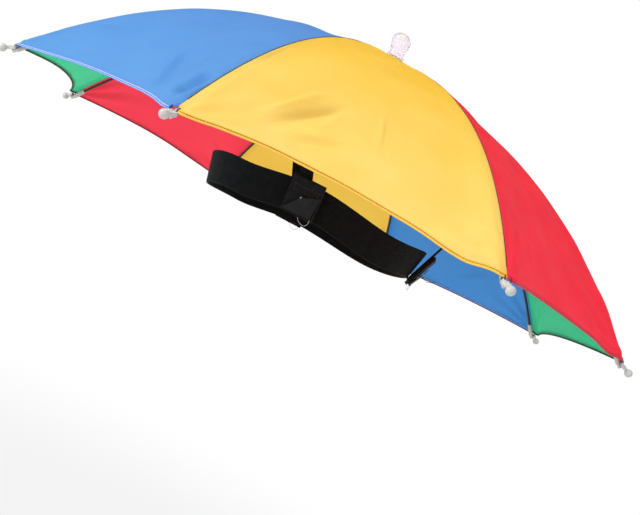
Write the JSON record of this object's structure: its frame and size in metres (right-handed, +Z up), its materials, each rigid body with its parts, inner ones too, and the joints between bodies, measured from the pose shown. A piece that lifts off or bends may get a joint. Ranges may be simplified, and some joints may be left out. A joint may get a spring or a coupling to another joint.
{
  "type": "umbrella hat",
  "caption": "Open hands-free umbrella worn on the head: coloured cloth panels over curved wire ribs, with an elastic headband hung below on straps.",
  "frame": {"origin": "on the canopy's axis at the headband's mid height, where a head holds the hat", "axes": "+Z up along the canopy's axis, -Y towards the wearer's face, +X towards the wearer's left"},
  "size_m": [0.4942, 0.4942, 0.1823],
  "materials": {
    "cloth_green": "smooth plain-woven nylon, emerald green, slightly glossy",
    "cloth_blue": "smooth plain-woven nylon, mid blue, slightly glossy",
    "cloth_yellow": "smooth plain-woven nylon, warm yellow, slightly glossy",
    "cloth_red": "smooth plain-woven nylon, bright red, slightly glossy",
    "rib_steel": "black enamelled steel wire",
    "tip_plastic": "moulded white plastic",
    "black_plastic": "moulded black plastic",
    "finial_plastic": "moulded milky white plastic",
    "band_elastic": "black woven elastic with fine lengthwise ribs",
    "tab_webbing": "black glossy woven tape with cut ends"
  },
  "bodies": {
    "root": {"panel_1_green": "cloth_green", "panel_2_blue": "cloth_blue", "panel_3_yellow": "cloth_yellow", "panel_4_red": "cloth_red", "panel_5_green": "cloth_green", "panel_6_blue": "cloth_blue", "panel_7_yellow": "cloth_yellow", "panel_8_red": "cloth_red", "rib_1": "rib_steel", "rib_2": "rib_steel", "rib_3": "rib_steel", "rib_4": "rib_steel", "rib_5": "rib_steel", "rib_6": "rib_steel", "rib_7": "rib_steel", "rib_8": "rib_steel", "rib_tip_1": "tip_plastic", "rib_tip_2": "tip_plastic", "rib_tip_3": "tip_plastic", "rib_tip_4": "tip_plastic", "rib_tip_5": "tip_plastic", "rib_tip_6": "tip_plastic", "rib_tip_7": "tip_plastic", "rib_tip_8": "tip_plastic", "crown_hub": "black_plastic", "crown_washer": "black_plastic", "finial": "finial_plastic", "headband": "band_elastic", "strap_left": "band_elastic", "strap_tab_left": "tab_webbing", "strap_back": "band_elastic", "strap_tab_back": "tab_webbing", "strap_right": "band_elastic", "strap_tab_right": "tab_webbing"}
  },
  "joints": []
}
